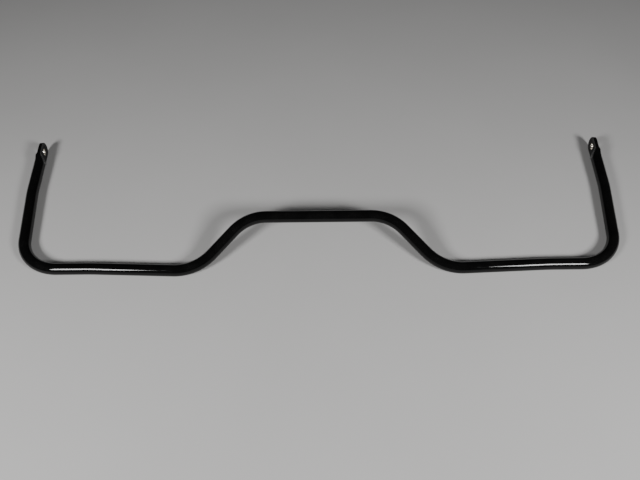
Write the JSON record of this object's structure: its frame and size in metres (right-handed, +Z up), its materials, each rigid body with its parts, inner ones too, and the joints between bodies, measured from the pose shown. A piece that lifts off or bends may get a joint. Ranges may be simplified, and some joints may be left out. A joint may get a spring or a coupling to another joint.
{
  "type": "sway bar",
  "caption": "Bent round steel sway bar with a raised centre crank, bushing seats, rounded corners, and lever arms ending in flattened, drilled link eyes.",
  "frame": {"origin": "middle of the bounding box, on the surface that the bar lies on", "axes": "+X along the bar's length to its right, +Y from the bushing seats towards the link eyes, +Z up as it lies"},
  "size_m": [1.0736, 0.3012, 0.06],
  "materials": {
    "black_enamel": "semi-gloss"
  },
  "bodies": {
    "centre": {"crank_bridge": "black_enamel", "left_crank_ramp": "black_enamel", "left_torsion_run": "black_enamel", "left_bushing_seat": "black_enamel", "right_crank_ramp": "black_enamel", "right_torsion_run": "black_enamel", "right_bushing_seat": "black_enamel"},
    "left_arm": {"left_corner_bend": "black_enamel", "left_lever_arm": "black_enamel", "left_link_eye": "black_enamel"},
    "right_arm": {"right_corner_bend": "black_enamel", "right_lever_arm": "black_enamel", "right_link_eye": "black_enamel"}
  },
  "joints": [
    {"name": "left_arm_twist", "type": "hinge", "parent": "centre", "child": "left_arm", "pos_m": [-0.43452, -0.13506, 0.01], "axis": [1, 0, 0], "range_deg": [-10, 10], "stiffness_Nm_per_rad": 2670},
    {"name": "right_arm_twist", "type": "hinge", "parent": "centre", "child": "right_arm", "pos_m": [0.43452, -0.13506, 0.01], "axis": [1, 0, 0], "range_deg": [-10, 10], "stiffness_Nm_per_rad": 2670}
  ],
  "couplings": [
    {"joint": "right_arm_twist", "follows": "left_arm_twist", "ratio": -1}
  ]
}
